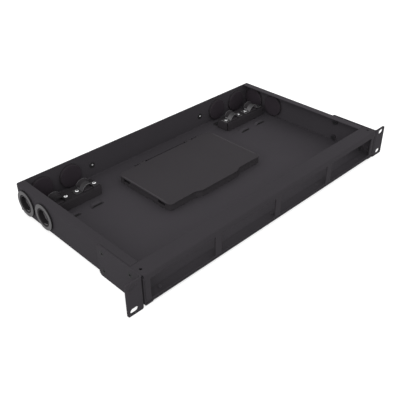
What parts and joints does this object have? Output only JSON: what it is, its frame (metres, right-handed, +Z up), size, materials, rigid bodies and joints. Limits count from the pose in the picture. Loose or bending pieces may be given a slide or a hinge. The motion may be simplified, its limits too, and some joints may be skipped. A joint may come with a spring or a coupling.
{
  "type": "fibre distribution panel",
  "caption": "Open rack-height fibre panel: folded steel tray with windowed front, rack ears, cable ports, clamps and a hinged splice tray.",
  "frame": {"origin": "centre of the four rack slots, on the rear face of the ears", "axes": "+X to the right seen from the front, +Y to the rear, +Z up"},
  "size_m": [0.4826, 0.2524, 0.0436],
  "materials": {
    "powder_black": "fine textured powder coat, satin",
    "bracket_black": "satin black paint",
    "ring_grey": "satin moulded grey",
    "cap_rubber": "smooth black rubber",
    "saddle_steel": "glossy dark coat on spring steel",
    "bright_zinc": "bright plated",
    "zinc_steel": "plain zinc plated",
    "black_fixing": "black zinc",
    "washer_black": "black",
    "tray_plastic": "satin moulded black",
    "tray_insert": "satin moulded"
  },
  "bodies": {
    "chassis": {"bracket_rivets_left": "black_fixing", "bracket_rivets_right": "black_fixing", "chassis_pan": "powder_black", "clamp_bracket_left": "bracket_black", "clamp_bracket_right": "bracket_black", "clamp_nuts_left": "zinc_steel", "clamp_nuts_right": "zinc_steel", "clamp_saddle_left_inner": "saddle_steel", "clamp_saddle_left_outer": "saddle_steel", "clamp_saddle_right_inner": "saddle_steel", "clamp_saddle_right_outer": "saddle_steel", "clamp_screws_left": "bright_zinc", "clamp_screws_right": "bright_zinc", "cover_nuts": "zinc_steel", "ear_nuts_left": "black_fixing", "ear_nuts_right": "black_fixing", "ear_screws_left": "black_fixing", "ear_screws_right": "black_fixing", "fibre_drum_left": "tray_insert", "fibre_drum_right": "tray_insert", "front_panel": "powder_black", "panel_rivets": "powder_black", "port_cap_back_left_inner": "cap_rubber", "port_cap_back_left_outer": "cap_rubber", "port_cap_back_right_inner": "cap_rubber", "port_cap_back_right_outer": "cap_rubber", "port_cap_left_front": "cap_rubber", "port_cap_left_rear": "cap_rubber", "port_cap_right_front": "cap_rubber", "port_cap_right_rear": "cap_rubber", "port_ring_back_left_inner": "ring_grey", "port_ring_back_left_outer": "ring_grey", "port_ring_back_right_inner": "ring_grey", "port_ring_back_right_outer": "ring_grey", "port_ring_left_front": "ring_grey", "port_ring_left_rear": "ring_grey", "port_ring_right_front": "ring_grey", "port_ring_right_rear": "ring_grey", "rack_ear_left": "powder_black", "rack_ear_right": "powder_black", "rear_nuts": "zinc_steel", "rear_screws": "black_fixing", "rear_washers": "washer_black", "side_wall_left": "powder_black", "side_wall_right": "powder_black", "splice_comb_front": "tray_insert", "splice_comb_rear": "tray_insert", "splice_tray_base": "tray_plastic", "tray_hinge_pin_left": "zinc_steel", "tray_hinge_pin_right": "zinc_steel", "tray_nuts": "zinc_steel", "tray_studs": "zinc_steel"},
    "tray_lid": {"splice_tray_lid": "tray_plastic"}
  },
  "joints": [
    {"name": "tray_lid_hinge", "type": "hinge", "parent": "chassis", "child": "tray_lid", "pos_m": [0, 0.2103, -0.009], "axis": [-1, 0, 0], "range_deg": [0, 110]}
  ]
}
